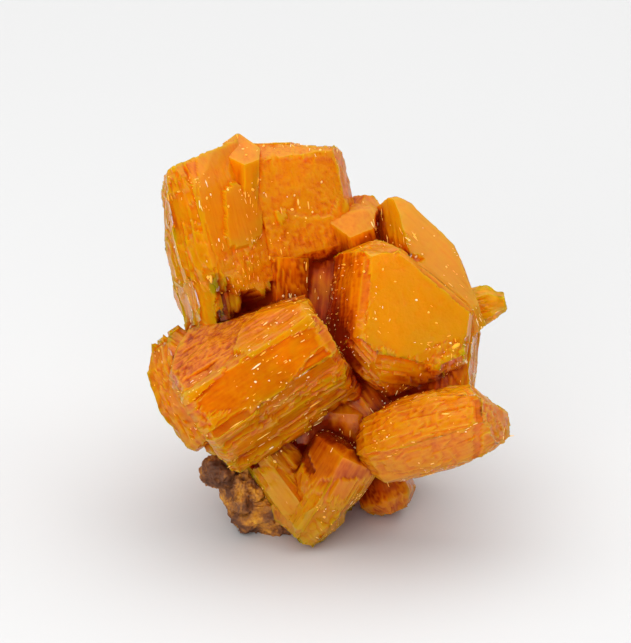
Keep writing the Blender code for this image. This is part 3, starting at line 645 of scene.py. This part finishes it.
def diced(corners, normal, axis, size):
    # a face cut into small triangles, its rows along the crystal's length
    finer = rimFiner = growthLook["finer"]
    up = axis - normal * (axis @ normal)
    if np.linalg.norm(up) < 0.3:        # an end face: even triangles, along its first edge
        up = corners[1] - corners[0]
        up = up - normal * (up @ normal)
        finer = 1.0
    up = unit(up)
    sideways = np.cross(up, normal)
    rim = []
    for start, end in zip(corners, np.roll(corners, -1, axis=0)):
        # neighbouring faces cut a shared edge from the same end, so that their points meet
        turned = tuple(np.round(start, 4)) > tuple(np.round(end, 4))
        low, high = (end, start) if turned else (start, end)
        length = np.linalg.norm(high - low)
        across = abs((high - low) @ axis) < 0.6 * length
        parts = max(1, round(length / (size * rimFiner if across else size / rimFiner)))
        steps = low + (high - low) * (np.arange(parts + 1) / parts)[:, None]
        rim.extend((steps[::-1] if turned else steps)[:-1])
    rim = np.array(rim)
    flat = np.stack(((rim - corners[0]) @ sideways, (rim - corners[0]) @ up), -1)
    lowest, highest = flat.min(0), flat.max(0)
    grid = np.stack(np.meshgrid(np.arange(lowest[0], highest[0], size * finer),
                                np.arange(lowest[1], highest[1], size / finer)), -1).reshape(-1, 2)
    inside = np.ones(len(grid), bool)
    flatCorners = np.stack(((corners - corners[0]) @ sideways, (corners - corners[0]) @ up), -1)
    for start, end in zip(flatCorners, np.roll(flatCorners, -1, axis=0)):
        edge = end - start
        length = np.linalg.norm(edge)
        if length > 1e-6:
            beyond = (edge[0] * (grid[:, 1] - start[1]) - edge[1] * (grid[:, 0] - start[0])) / length
            inside &= beyond > 0.45 * size
    grid = grid[inside]
    spots = np.concatenate((flat, grid))
    made = geometry.delaunay_2d_cdt([Vector(spot) for spot in spots.tolist()], [],
                                    [list(range(len(rim)))], 1, 1e-7)
    points = np.concatenate((rim, corners[0] + grid[:, :1] * sideways + grid[:, 1:] * up))
    source = [origins[0] for origins in made[3]]
    return points[source], np.array(source) < len(rim), made[2]


def crystalMesh(name, crystal, seed):
    look = growthLook
    faces, turn = polytope(crystal)
    axis = turn[2]
    index, places, owners, triangles, tones, roughs = {}, [], [], [], [], []
    for corners, normal in faces:
        points, onRim, pieces = diced(corners, normal, axis, crystal["dice"])
        local = (points - crystal["place"]) @ turn.T
        growth, etch, raised, tone = zoned(crystal, points, normal, axis, seed)
        sideways = np.cross(axis, normal)
        slope = np.linalg.norm(sideways)
        if slope > 0.5:
            along, across = local[:, 2], (points - crystal["place"]) @ (sideways / slope)
            if crystal.get("layered"):
                along, across = across, along
            deepest = look["deepest"]
            heights = deepest * np.tanh(relief(along, across, seed) * growth * slope / deepest)
        else:
            frayed = crystal.get("frayed", 0.15) if normal @ axis < 0 else 0.05
            heights = endRelief(local[:, 0], local[:, 1], seed, frayed) * growth
        bumps = noise(points / look["etchSize"], seed)
        bumps = bumps + look["dimples"] * noise(points / look["dimpleSize"], seed + 1)
        heights = heights + look["waves"] * noise(points / look["waveSize"], seed + 12)
        pits = np.minimum(0, noise(points / look["pitSize"], seed + 7) + look["pitLevel"])
        heights = heights + raised + look["etch"] * etch * (bumps + look["pits"] * pits)
        numbers = []
        for shared, point, height, shade, rough in zip(onRim, points, heights, tone, etch):
            key = tuple(point) if shared else len(places)
            if key not in index:
                index[key] = len(places)
                places.append(point)
                owners.append([])
                tones.append(shade)
                roughs.append(rough)
            owners[index[key]].append((normal, height))
            numbers.append(index[key])
        triangles.extend([numbers[corner] for corner in piece] for piece in pieces)
    moved = np.array(places)
    for number, owner in enumerate(owners):
        if len(owner) == 1:
            moved[number] += owner[0][0] * owner[0][1]
        else:
            # on an edge or a corner, the push that suits all its faces, and no more than the highest
            normals = np.array([normal for normal, height in owner])
            heights = np.array([height for normal, height in owner])
            gram = normals @ normals.T + 0.05 * np.eye(len(owner))
            push = normals.T @ np.linalg.solve(gram, heights)
            most = (1.0 if len(owner) == 2 else 0.5) * np.abs(heights).max()
            moved[number] += push * min(1, most / max(np.linalg.norm(push), 1e-9))
    mesh = bpy.data.meshes.new(name)
    mesh.from_pydata(toWorld(moved).tolist(), [], triangles)
    ways = np.tile(axis @ layoutTurn, (len(moved), 1))
    return mesh, moved, tones, roughs, (moved - crystal["place"]) @ turn.T + seed * 7.3, ways


def helper(name, mesh):
    thing = placed(name, mesh)
    thing.hide_render = True
    return thing


def groundBlock():
    # all that lies below the cut
    size = 0.08
    mesh = bpy.data.meshes.new("ground")
    bm = bmesh.new()
    bmesh.ops.create_cube(bm, size=size)
    bmesh.ops.translate(bm, vec=(0, 0, -size / 2), verts=bm.verts)
    bm.to_mesh(mesh)
    bm.free()
    return helper("ground", mesh)


def united(name, parts, cutters):
    # one mesh of all parts, less the cutters; the helpers are removed
    guides = bpy.data.collections.new("guides")
    bpy.context.scene.collection.children.link(guides)
    for thing in parts[1:]:
        bpy.context.scene.collection.objects.unlink(thing)
        guides.objects.link(thing)
    union = parts[0].modifiers.new("union", "BOOLEAN")
    union.operation = "UNION"
    union.operand_type = "COLLECTION"
    union.collection = guides
    union.solver = "MANIFOLD"
    for cutter in cutters:
        cut = parts[0].modifiers.new("cut", "BOOLEAN")
        cut.operation = "DIFFERENCE"
        cut.object = cutter
        cut.solver = "MANIFOLD"
    graph = bpy.context.evaluated_depsgraph_get()
    mesh = bpy.data.meshes.new_from_object(parts[0].evaluated_get(graph))
    mesh.name = name
    mesh.materials.clear()
    for thing in parts + cutters:
        bpy.data.objects.remove(thing)
    bpy.data.collections.remove(guides)
    return mesh


def finishPiece(mesh, material, replaced=None):
    # the mesh as a smooth piece of the group, in place of a plain one
    for polygon in mesh.polygons:
        polygon.use_smooth = True
    mesh.materials.append(material)
    piece = placed(mesh.name, mesh)
    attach(piece, "root")
    if replaced:
        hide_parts(replaced)
    return piece


def coordsOf(items, name, size=3):
    found = np.empty(len(items) * size)
    items.foreach_get(name, found)
    return found.reshape(-1, size)


def store(mesh, name, kind, values):
    # a value for each point, for the shader to read
    attribute = mesh.attributes.new(name, kind, "POINT")
    field = "vector" if kind == "FLOAT_VECTOR" else "value"
    attribute.data.foreach_set(field, np.asarray(values, np.float32).ravel())


# painted light and shade for the crystals' colour: closed places redder and darker, sharp edges and thin parts
# yellower
toneLook = {
    "base": 0.70,
    "thinLength": 1.6, "thinGlowBy": 0.24, "thickest": 12.0,
    "closedShadeBy": 1.15, "closedPower": 2.2, "openReach": 7.0,
    "edgeHighlightBy": 0.28, "edgeSize": 0.05, "hollowest": 0.6,
    "paintedLightBy": 1.6, "paintedLightFrom": 0.3,
    "rays": 9, "inwardRays": 3,
    "startOut": 0.05, "startIn": 0.03,      # how far off the surface a ray starts
}


def rounded(values, ends, count):
    # each value averaged with its neighbours along the edges
    total = values.copy()
    number = np.ones(len(values))
    for start, end in ((ends[:, 0], ends[:, 1]), (ends[:, 1], ends[:, 0])):
        total += np.bincount(start, values[end], len(values))
        number += np.bincount(start, minlength=len(values))
    averaged = total / number
    return rounded(averaged, ends, count - 1) if count > 1 else averaged


def paintedLightAndShadeTones(mesh, spots, tones, roughs, grains, ways):
    # how yellow or red each point is, from how thin, open and sharp the crystal is there: painted shade where
    # it is closed in, painted highlight on sharp edges and painted light through thin parts
    look = toneLook
    count = len(mesh.vertices)
    places = coordsOf(mesh.vertices, "co") / millimetre
    normals = coordsOf(mesh.vertices, "normal")
    triangles = [tuple(polygon.vertices) for polygon in mesh.polygons]
    tree = BVHTree.FromPolygons(places.tolist(), triangles)
    rays = [unit((math.cos(2.4 * number) * math.sqrt(share), math.sin(2.4 * number) * math.sqrt(share),
                  math.sqrt(1 - share)))
            for number, share in enumerate((np.arange(look["rays"]) + 0.5) / look["rays"])]
    side = np.cross(normals, np.where(np.abs(normals[:, 2:]) < 0.9, (0, 0, 1), (1, 0, 0)))
    side = side / np.linalg.norm(side, axis=1)[:, None]
    other = np.cross(normals, side)
    thickness, openness = np.zeros(count), np.zeros(count)
    for ray in rays:
        outward = side * ray[0] + other * ray[1] + normals * ray[2]
        starts, aims = (places + normals * look["startOut"]).tolist(), outward.tolist()
        for number in range(count):
            hit = tree.ray_cast(starts[number], aims[number], look["openReach"])
            openness[number] += 1.0 if hit[0] is None else 0.5 * (hit[3] / look["openReach"]) ** 2
    for ray in rays[:look["inwardRays"]]:
        inward = -(side * ray[0] + other * ray[1] + normals * ray[2])
        starts, aims = (places - normals * look["startIn"]).tolist(), inward.tolist()
        for number in range(count):
            hit = tree.ray_cast(starts[number], aims[number], look["thickest"])
            thickness[number] += look["thickest"] if hit[0] is None else hit[3]
    openness, thickness = openness / len(rays), thickness / look["inwardRays"]
    ends = np.empty(len(mesh.edges) * 2, np.int32)
    mesh.edges.foreach_get("vertices", ends)
    ends = ends.reshape(-1, 2)
    near = np.stack([rounded(places[:, axis], ends, 2) for axis in range(3)], -1)
    sharp = np.einsum("ij,ij->i", places - near, normals) / look["edgeSize"]
    finder = kdtree.KDTree(len(spots))
    for number, spot in enumerate((spots @ layoutTurn + layout["centre"]).tolist()):
        finder.insert(spot, number)
    finder.balance()
    nearest = [finder.find(place)[1] for place in places.tolist()]
    openness = rounded(openness, ends, 3)
    # painted light: yellow shows only where light gets in, so yellower tones are scaled by how open the point
    # is
    paintedLight = np.clip(openness * look["paintedLightBy"] - look["paintedLightFrom"], 0, 1)
    tone = look["base"] + rounded(tones[nearest], ends, 2) * np.where(tones[nearest] > 0, paintedLight, 1)
    # painted highlight on sharp edges, yellower, and painted shade in hollows, redder down to hollowest
    tone += look["edgeHighlightBy"] * np.clip(sharp, -look["hollowest"], paintedLight)
    # painted light through thin parts: yellower where the crystal is thin
    tone += look["thinGlowBy"] * rounded(np.exp(-thickness / look["thinLength"]), ends, 2) * paintedLight
    # painted shade: darker and redder where the crystal is closed in, in recesses and between crystals
    tone -= look["closedShadeBy"] * (1 - openness) ** look["closedPower"]
    store(mesh, "tone", "FLOAT", tone)
    store(mesh, "rough", "FLOAT", rounded(roughs[nearest], ends, 2))
    store(mesh, "grain", "FLOAT_VECTOR", grains[nearest])
    report("tones")
    return tree, ways[nearest]


mimetiteLook = {
    # dark red at low tone, where painted shade lies, to yellow at high tone, where painted light and painted
    # highlight lie
    "stops": ((0.0, rgb(0.26, 0.020, 0.001)), (0.25, rgb(0.58, 0.09, 0.001)),
              (0.5, rgb(0.87, 0.235, 0.001)), (0.72, rgb(0.98, 0.34, 0.001)),
              (1.0, rgb(1.0, 0.415, 0.003))),
    "clouds": 0.26, "cloudScale": 0.8,
    "streaks": 0.18, "streakShape": (5.0, 5.0, 0.45), "streakDepth": 0.00002,
    "speckle": 0.09, "speckleScale": 7.0, "etchDepth": 0.000012,
    "roughness": 0.16,
    "shine": 0.45, "shineTint": rgb(1.0, 0.86, 0.66),
    "transmission": 0.45,
    "ior": 1.55,
    "scatter": 0.002, "scatterColours": (1.0, 0.45, 0.08),
    "absorbed": rgb(0.999, 0.89, 0.05), "density": 1500.0,
    "sharpFrom": math.radians(32),
}


def mimetite():
    look = mimetiteLook
    material, wire = newMaterial("mimetite")
    # the tone holds the crystal's own colour changes and the painted light and shade of each point
    tone = wire.node("ShaderNodeAttribute", {"attribute_name": "tone"}, output=2)
    rough = wire.node("ShaderNodeAttribute", {"attribute_name": "rough"}, output=2)
    grain = wire.node("ShaderNodeAttribute", {"attribute_name": "grain"}, output=1)
    drawn = wire.node("ShaderNodeVectorMath", {"operation": "MULTIPLY"}, {0: grain, 1: look["streakShape"]})
    clouds = wire.node("ShaderNodeTexNoise", None,
                       {"Vector": grain, "Scale": look["cloudScale"], "Detail": 3.0})
    streaks = wire.node("ShaderNodeTexNoise", None, {"Vector": drawn, "Scale": 1.0, "Detail": 3.0})
    speckle = wire.node("ShaderNodeTexNoise", None,
                        {"Vector": grain, "Scale": look["speckleScale"], "Detail": 2.0})
    tone = tone + 2 * look["clouds"] * (clouds - 0.5) + 2 * look["streaks"] * (streaks - 0.5)
    tone = tone + look["speckle"] * (speckle - 0.5) * rough
    height = look["streakDepth"] * streaks + look["etchDepth"] * speckle * rough
    surface = wire.node("ShaderNodeBsdfPrincipled", None, {
        "Base Color": wire.node("ShaderNodeValToRGB", {"stops": look["stops"]}, {"Fac": tone}),
        "Normal": wire.node("ShaderNodeBump", None, {"Distance": 1.0, "Height": height}),
        "Roughness": look["roughness"],
        "IOR": look["ior"],
        "Transmission Weight": look["transmission"],
        "Specular IOR Level": look["shine"],
        "Specular Tint": look["shineTint"],
        "Subsurface Weight": 1.0,
        "Subsurface Radius": look["scatterColours"],
        "Subsurface Scale": look["scatter"],
    })
    inside = wire.node("ShaderNodeVolumeAbsorption", None,
                       {"Color": look["absorbed"], "Density": look["density"]})
    wire.node("ShaderNodeOutputMaterial", None, {"Surface": surface, "Volume": inside})
    return material


def addCrystals():
    made, marks = [], []
    for number, (name, crystal) in enumerate((crystals | fringeCrystals()).items()):
        mesh, *mark = crystalMesh(name, crystal, 11 * number + 3)
        made.append(helper(name, mesh))
        marks.append(mark)
    report(f"{len(made)} crystals, {sum(len(thing.data.polygons) for thing in made)} triangles")
    mesh = united("mimetiteCrystals", made, [groundBlock()])
    report(f"united: {len(mesh.loops) - 2 * len(mesh.polygons)} triangles")
    tree, ways = paintedLightAndShadeTones(mesh, *(np.concatenate(parts) for parts in zip(*marks)))
    cluster = finishPiece(mesh, mimetite(), "crystal_cluster")
    mesh.set_sharp_from_angle(angle=mimetiteLook["sharpFrom"])
    return cluster, tree, ways


speckAndGlintLook = {
    "count": 2600, "size": 0.046, "largest": 0.12, "sizeSpread": 0.4,
    "round": 1.15, "flatness": 0.45, "uneven": (0.75, 1.2),
    "drawnShare": 0.55, "drawnOut": (1.5, 5.0), "drawnThin": 0.6, "drawnAstray": 0.1,
    "crowdSize": 1.7, "crowdLevel": 0.25, "crowdLeast": 0.04, "aboveFloor": 0.3,
    "roughness": 0.3,
    # orange to nearly white, for pale specks and painted glints alike
    "stops": ((0.0, rgb(1.0, 0.44, 0.01)), (0.5, rgb(1.0, 0.56, 0.08)), (0.85, rgb(1.0, 0.70, 0.25)),
              (1.0, rgb(1.0, 0.88, 0.62))),
    # painted glints, one by one, as seen from the front: right, up, half width, half length and the way they
    # run
    "paintedGlints": ((-3.05, 4.25, 0.16, 0.18, (0, 1)), (-6.85, 2.85, 0.14, 0.45, (-0.35, 0.93)),
               (-7.15, 8.1, 0.09, 0.12, (0, 1)), (-6.9, 8.35, 0.08, 0.1, (0, 1)),
               (-5.8, 8.7, 0.1, 0.13, (0, 1)), (-5.75, 7.6, 0.1, 0.12, (0, 1)), (-8.3, 0.0, 0.1, 0.16, (0, 1)),
               (-5.15, -6.7, 0.07, 0.6, (0.84, 0.54)), (-3.4, -7.5, 0.06, 0.7, (0.84, 0.54)),
               (-2.6, -5.5, 0.06, 0.5, (0.84, 0.54)), (0.0, -5.4, 0.06, 0.7, (0.84, 0.54)),
               (-2.0, 1.3, 0.05, 0.5, (0.9, 0.2)), (9.2, -1.6, 0.2, 0.5, (0.8, 0.6)),
               (4.4, 3.4, 0.07, 0.1, (0, 1)), (5.2, 2.6, 0.06, 0.1, (1, 0)), (6.6, 1.4, 0.07, 0.1, (1, 0)),
               (7.4, 0.6, 0.08, 0.1, (1, 0)), (7.9, -0.1, 0.07, 0.12, (1, 0)), (0.4, 9.3, 0.08, 0.1, (0, 1)),
               (-0.2, 7.3, 0.07, 0.09, (0, 1)), (-1.4, 8.4, 0.07, 0.09, (0, 1))),
}


def paleSpeckAndGlint():
    material, wire = newMaterial("paleSpeckAndGlint")
    pale = wire.node("ShaderNodeAttribute", {"attribute_name": "pale"}, output=2)
    surface = wire.node("ShaderNodeBsdfPrincipled", None, {
        "Base Color": wire.node("ShaderNodeValToRGB", {"stops": speckAndGlintLook["stops"]}, {"Fac": pale}),
        "Roughness": speckAndGlintLook["roughness"]})
    wire.node("ShaderNodeOutputMaterial", None, {"Surface": surface})
    return material


def addPaleSpecksAndGlints(mesh, tree, ways):
    # small pale grains that sit in the faces: partly pale specks in the crystal, partly painted glints
    look = speckAndGlintLook
    chance = np.random.default_rng(41)
    areas = coordsOf(mesh.polygons, "area", 1)[:, 0]
    centres = coordsOf(mesh.polygons, "center") / millimetre
    normals = coordsOf(mesh.polygons, "normal")
    crowding = noise(centres / look["crowdSize"], 77) + look["crowdLevel"]
    crowding = np.clip(crowding, look["crowdLeast"], 1) ** 2
    crowding = crowding * (centres[:, 2] > look["aboveFloor"]) * areas
    picked = chance.choice(len(areas), look["count"], p=crowding / crowding.sum())
    spots = []
    for number in picked:
        width = min(look["largest"], look["size"] * math.exp(look["sizeSpread"] * chance.standard_normal()))
        way, long = chance.standard_normal(3), look["round"] * width
        # a share drawn out along the crystal: streaks of painted highlight
        if chance.random() < look["drawnShare"]:
            width, long = look["drawnThin"] * width, width * chance.uniform(*look["drawnOut"])
            way = ways[mesh.polygons[number].vertices[0]] + look["drawnAstray"] * way
        spots.append((centres[number], normals[number], way, width, long))
    for right, up, width, long, way in look["paintedGlints"]:
        start = np.array((right, up, 20.0)) @ layoutTurn + layout["centre"]
        place, normal, *rest = tree.ray_cast(start.tolist(), (-outDir).tolist())
        if place is not None:
            way = np.array((way[0], way[1], 0.0)) @ layoutTurn
            spots.append((np.array(place), np.array(normal), way, width, long))
    ball = bmesh.new()
    bmesh.ops.create_icosphere(ball, subdivisions=1, radius=1)
    corners = np.array([vert.co for vert in ball.verts])
    sides = [[vert.index for vert in face.verts] for face in ball.faces]
    ball.free()
    places, faces, pale = [], [], []
    for place, normal, way, width, long in spots:
        along = unit(way - normal * (way @ normal))
        side = np.cross(normal, along)
        shape = corners * chance.uniform(*look["uneven"], (len(corners), 1))
        shape = shape * (width, long, look["flatness"] * width)
        faces.extend([corner + len(places) for corner in face] for face in sides)
        places.extend(place + shape @ np.array((side, along, normal)))
        pale.extend([chance.random()] * len(corners))
    grains = bpy.data.meshes.new("paleSpecksAndGlints")
    grains.from_pydata((np.array(places) * millimetre).tolist(), [], faces)
    store(grains, "pale", "FLOAT", pale)
    finishPiece(grains, paleSpeckAndGlint())
    report(f"{len(spots)} pale grains")


# Matrix: lumps of limonite, each with its place, half lengths and how knobbly it is
matrix = {
    "lumps": (((-6.5, -10.0, -0.2), (1.15, 0.95, 1.0), 0.28), ((-4.8, -11.3, -0.6), (1.2, 1.6, 1.5), 0.30),
              ((-3.4, -11.1, -1.7), (1.2, 1.2, 1.4), 0.30), ((-3.7, -12.7, -1.4), (1.7, 1.35, 1.6), 0.30),
              ((-2.6, -13.6, -1.6), (1.3, 0.9, 1.3), 0.25)),
    "knobSize": 0.9,
    "pebbleSize": 0.42, "pebbleBy": 0.16,
    "crumbSize": 0.2, "crumbBy": 0.06, "crumbDepth": 0.00003,
    "fineness": 6,
    "gap": 0.02,
    "stops": ((0.0, rgb(0.05, 0.015, 0.006)), (0.35, rgb(0.16, 0.055, 0.018)),
              (0.55, rgb(0.38, 0.14, 0.02)), (0.75, rgb(0.62, 0.27, 0.02)), (1.0, rgb(0.85, 0.48, 0.05))),
    "tone": 0.48,
    "patchScale": 700.0, "patchBy": 1.9,
    "crumbScale": 5000.0, "speckBy": 0.5,
    "roughness": 0.6,
}


def limonite():
    material, wire = newMaterial("limonite")
    place = wire.node("ShaderNodeTexCoord", output=3)
    patches = wire.node("ShaderNodeTexNoise", None,
                        {"Vector": place, "Scale": matrix["patchScale"], "Detail": 4.0})
    crumbs = wire.node("ShaderNodeTexNoise", None,
                       {"Vector": place, "Scale": matrix["crumbScale"], "Detail": 2.0})
    tone = matrix["patchBy"] * (patches - 0.5) + matrix["speckBy"] * (crumbs - 0.5) + matrix["tone"]
    height = matrix["crumbDepth"] * crumbs
    surface = wire.node("ShaderNodeBsdfPrincipled", None, {
        "Base Color": wire.node("ShaderNodeValToRGB", {"stops": matrix["stops"]}, {"Fac": tone}),
        "Roughness": matrix["roughness"],
        "Normal": wire.node("ShaderNodeBump", None, {"Distance": 1.0, "Height": height})})
    wire.node("ShaderNodeOutputMaterial", None, {"Surface": surface})
    return material


def addMatrix(cluster):
    made = []
    for number, (place, halves, knobbly) in enumerate(matrix["lumps"]):
        bm = bmesh.new()
        bmesh.ops.create_icosphere(bm, subdivisions=matrix["fineness"], radius=1)
        points = np.array([vert.co for vert in bm.verts]) * halves
        knobs = noise(points / matrix["knobSize"], 500 + number)
        pebbles = 1 - 2 * np.abs(noise(points / matrix["pebbleSize"], 520 + number))
        crumbs = 1 - 2 * np.abs(noise(points / matrix["crumbSize"], 540 + number))
        swell = 1 + knobbly * knobs + matrix["pebbleBy"] * pebbles + matrix["crumbBy"] * crumbs
        for vert, point in zip(bm.verts, toWorld(points * swell[:, None] + place)):
            vert.co = point
        mesh = bpy.data.meshes.new("lump")
        bm.to_mesh(mesh)
        bm.free()
        made.append(helper("lump", mesh))
    # the crystals, swollen by the gap, cut the lumps away
    grown = cluster.data.copy()
    places = coordsOf(grown.vertices, "co") + coordsOf(grown.vertices, "normal") * matrix["gap"] * millimetre
    grown.vertices.foreach_set("co", places.ravel())
    mesh = united("limoniteLumps", made, [helper("grown", grown), groundBlock()])
    finishPiece(mesh, limonite(), "limonite_matrix")
    report(f"matrix: {len(mesh.loops) - 2 * len(mesh.polygons)} triangles")


# Floor and light
studio = {
    "floorSize": 4.0, "floorRoughness": 0.6, "floorShine": 0.2,
    "floorColour": rgb(0.60, 0.60, 0.60),
    # the surround brightens with height and is dark in front, where faces would mirror it
    "surround": {"low": 0.06, "high": 1.0, "from": 0.25, "to": 0.70, "darkFrom": 0.45, "darkTo": 0.85,
                 "darkBy": 0.9},
    "lampTarget": (0.0, 0.0, 0.012),
    "lamps": {
        "top": {"place": (0.0, 0.06, 0.40), "size": 0.60, "power": 2.0},
        "front": {"place": (-0.08, -0.42, 0.22), "size": 0.50, "power": 1.7},
        "low": {"place": (-0.10, -0.36, 0.05), "size": 0.25, "power": 0.42},
    },
}


def addFloor():
    bm = bmesh.new()
    bmesh.ops.create_grid(bm, x_segments=1, y_segments=1, size=studio["floorSize"] / 2)
    mesh = bpy.data.meshes.new("floor")
    bm.to_mesh(mesh)
    bm.free()
    material, wire = newMaterial("floor")
    surface = wire.node("ShaderNodeBsdfPrincipled", None, {
        "Base Color": studio["floorColour"], "Roughness": studio["floorRoughness"],
        "Specular IOR Level": studio["floorShine"]})
    wire.node("ShaderNodeOutputMaterial", None, {"Surface": surface})
    mesh.materials.append(material)
    placed("floor", mesh)


def addSurround():
    world = bpy.data.worlds.new("studio")
    bpy.context.scene.world = world
    world.use_nodes = True
    world.node_tree.nodes.clear()
    wire = Wire(world.node_tree)
    direction = wire.node("ShaderNodeTexCoord")
    towards = wire.node("ShaderNodeVectorMath", {"operation": "DOT_PRODUCT"},
                        {0: direction, 1: tuple(outDir)}, 1)
    height = wire.node("ShaderNodeSeparateXYZ", None, {"Vector": direction}, 2)
    look = studio["surround"]
    strength = look["low"] + (look["high"] - look["low"]) * height.over(look["from"], look["to"])
    strength = strength * (1 - look["darkBy"] * towards.over(look["darkFrom"], look["darkTo"]))
    glow = wire.node("ShaderNodeBackground", None, {"Color": rgb(1, 1, 1), "Strength": strength})
    wire.node("ShaderNodeOutputWorld", None, {"Surface": glow})


def addLamps():
    for name, kind in studio["lamps"].items():
        data = bpy.data.lights.new(name, "AREA")
        data.shape = "SQUARE"
        data.size = kind["size"]
        data.energy = kind["power"]
        lamp = placed(name, data)
        lamp.location = kind["place"]
        facing = Vector(kind["place"]) - Vector(studio["lampTarget"])
        lamp.rotation_euler = facing.to_track_quat("Z", "Y").to_euler()
        lamp.visible_glossy = False
        lamp.visible_transmission = False


addCamera()
addFloor()
addSurround()
addLamps()
bpy.context.scene.view_settings.view_transform = "Standard"
cluster, tree, ways = addCrystals()
addPaleSpecksAndGlints(cluster.data, tree, ways)
addMatrix(cluster)

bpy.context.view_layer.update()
report("finished")
